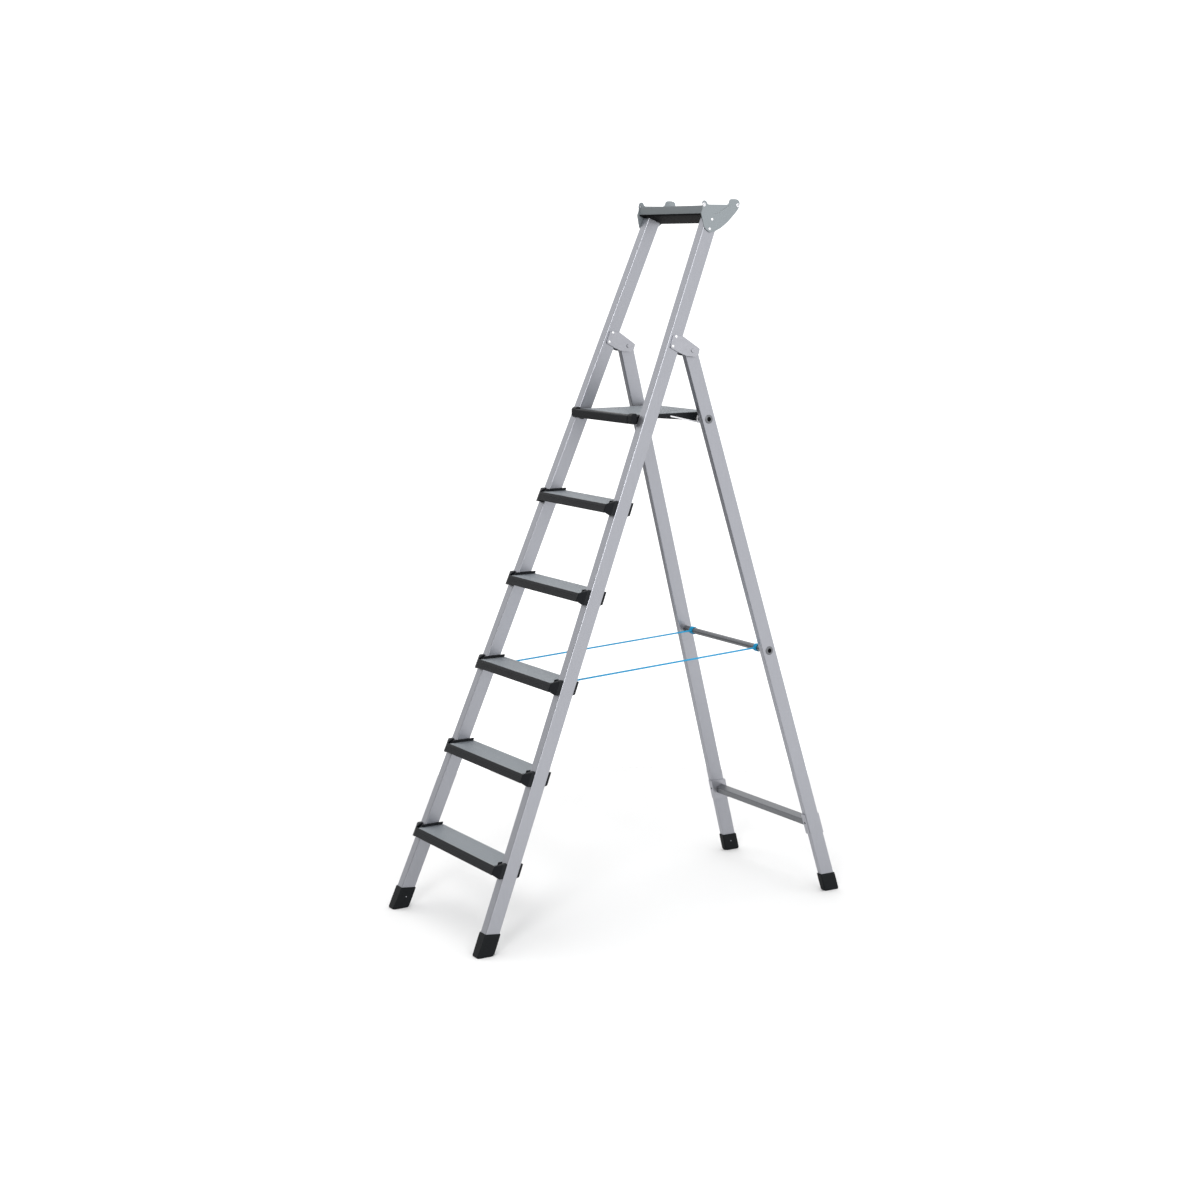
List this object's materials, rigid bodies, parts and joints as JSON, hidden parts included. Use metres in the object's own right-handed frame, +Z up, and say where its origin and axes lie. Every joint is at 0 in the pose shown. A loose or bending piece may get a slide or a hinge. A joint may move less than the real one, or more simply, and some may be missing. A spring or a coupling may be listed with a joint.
{
  "type": "step ladder",
  "caption": "Folding aluminium step ladder with plain steps, a hinged platform, a guard rail with a tool tray, and strap-braced rear legs.",
  "frame": {"origin": "on the floor, at the middle of the standing ladder's footprint", "axes": "+Z up, +X to the right of someone about to climb, +Y the way they face as they climb"},
  "size_m": [0.5428, 1.1984, 1.9941],
  "materials": {
    "aluminium_tube": "satin extruded aluminium",
    "grooved_tread": "finely grooved extruded aluminium",
    "grey_sheet": "grey coated sheet",
    "bright_steel": "zinc plated",
    "black_plastic": "fine matt texture",
    "blue_webbing": "woven webbing"
  },
  "bodies": {
    "front_frame": {"stile_right": "aluminium_tube", "stile_left": "aluminium_tube", "step_tread_1": "grooved_tread", "step_nosing_1": "black_plastic", "step_end_right_1": "black_plastic", "step_end_left_1": "black_plastic", "step_tread_2": "grooved_tread", "step_nosing_2": "black_plastic", "step_end_right_2": "black_plastic", "step_end_left_2": "black_plastic", "step_tread_3": "grooved_tread", "step_nosing_3": "black_plastic", "step_end_right_3": "black_plastic", "step_end_left_3": "black_plastic", "step_tread_4": "grooved_tread", "step_nosing_4": "black_plastic", "step_end_right_4": "black_plastic", "step_end_left_4": "black_plastic", "step_tread_5": "grooved_tread", "step_nosing_5": "black_plastic", "step_end_right_5": "black_plastic", "step_end_left_5": "black_plastic", "foot_front_right": "black_plastic", "foot_front_left": "black_plastic", "hinge_bracket_right": "bright_steel", "hinge_bracket_left": "bright_steel", "hinge_pin_right": "bright_steel", "hinge_pin_left": "bright_steel", "hinge_spacer_inner_right": "black_plastic", "hinge_spacer_inner_left": "black_plastic", "hinge_spacer_outer_right": "black_plastic", "hinge_spacer_outer_left": "black_plastic", "tool_tray": "grey_sheet", "tray_end_right": "grey_sheet", "tray_end_left": "grey_sheet", "platform_pivot_right": "black_plastic", "platform_pivot_left": "black_plastic", "strap_right": "blue_webbing", "strap_left": "blue_webbing"},
    "platform": {"platform_frame": "black_plastic", "platform_deck": "grooved_tread", "platform_nosing": "black_plastic", "platform_corner_right": "black_plastic", "platform_corner_left": "black_plastic"},
    "stays": {"platform_stay_right": "bright_steel", "platform_stay_left": "bright_steel"},
    "rear_frame": {"foot_rear_right": "black_plastic", "foot_rear_left": "black_plastic", "leg_right": "aluminium_tube", "leg_left": "aluminium_tube", "platform_crossbar": "aluminium_tube", "middle_crossbar": "aluminium_tube", "lower_crossbar": "aluminium_tube", "lower_bracket_right": "bright_steel", "lower_bracket_left": "bright_steel"}
  },
  "joints": [
    {"name": "rear_fold", "type": "hinge", "parent": "front_frame", "child": "rear_frame", "pos_m": [0, 0.13388, 1.5795], "axis": [-1, 0, 0], "range_deg": [0, 37.7], "deforming": ["strap_left", "strap_right"]},
    {"name": "platform_tilt", "type": "hinge", "parent": "front_frame", "child": "platform", "pos_m": [0, -0.01408, 1.389], "axis": [1, 0, 0], "range_deg": [0, 67.9]},
    {"name": "stay_turn", "type": "hinge", "parent": "rear_frame", "child": "stays", "pos_m": [0, 0.18727, 1.3878], "axis": [-1, 0, 0], "range_deg": [0, 21.4]}
  ],
  "couplings": [
    {"joint": "platform_tilt", "follows": "rear_fold", "ratio": 1.7998},
    {"joint": "stay_turn", "follows": "rear_fold", "ratio": 0.5652}
  ]
}
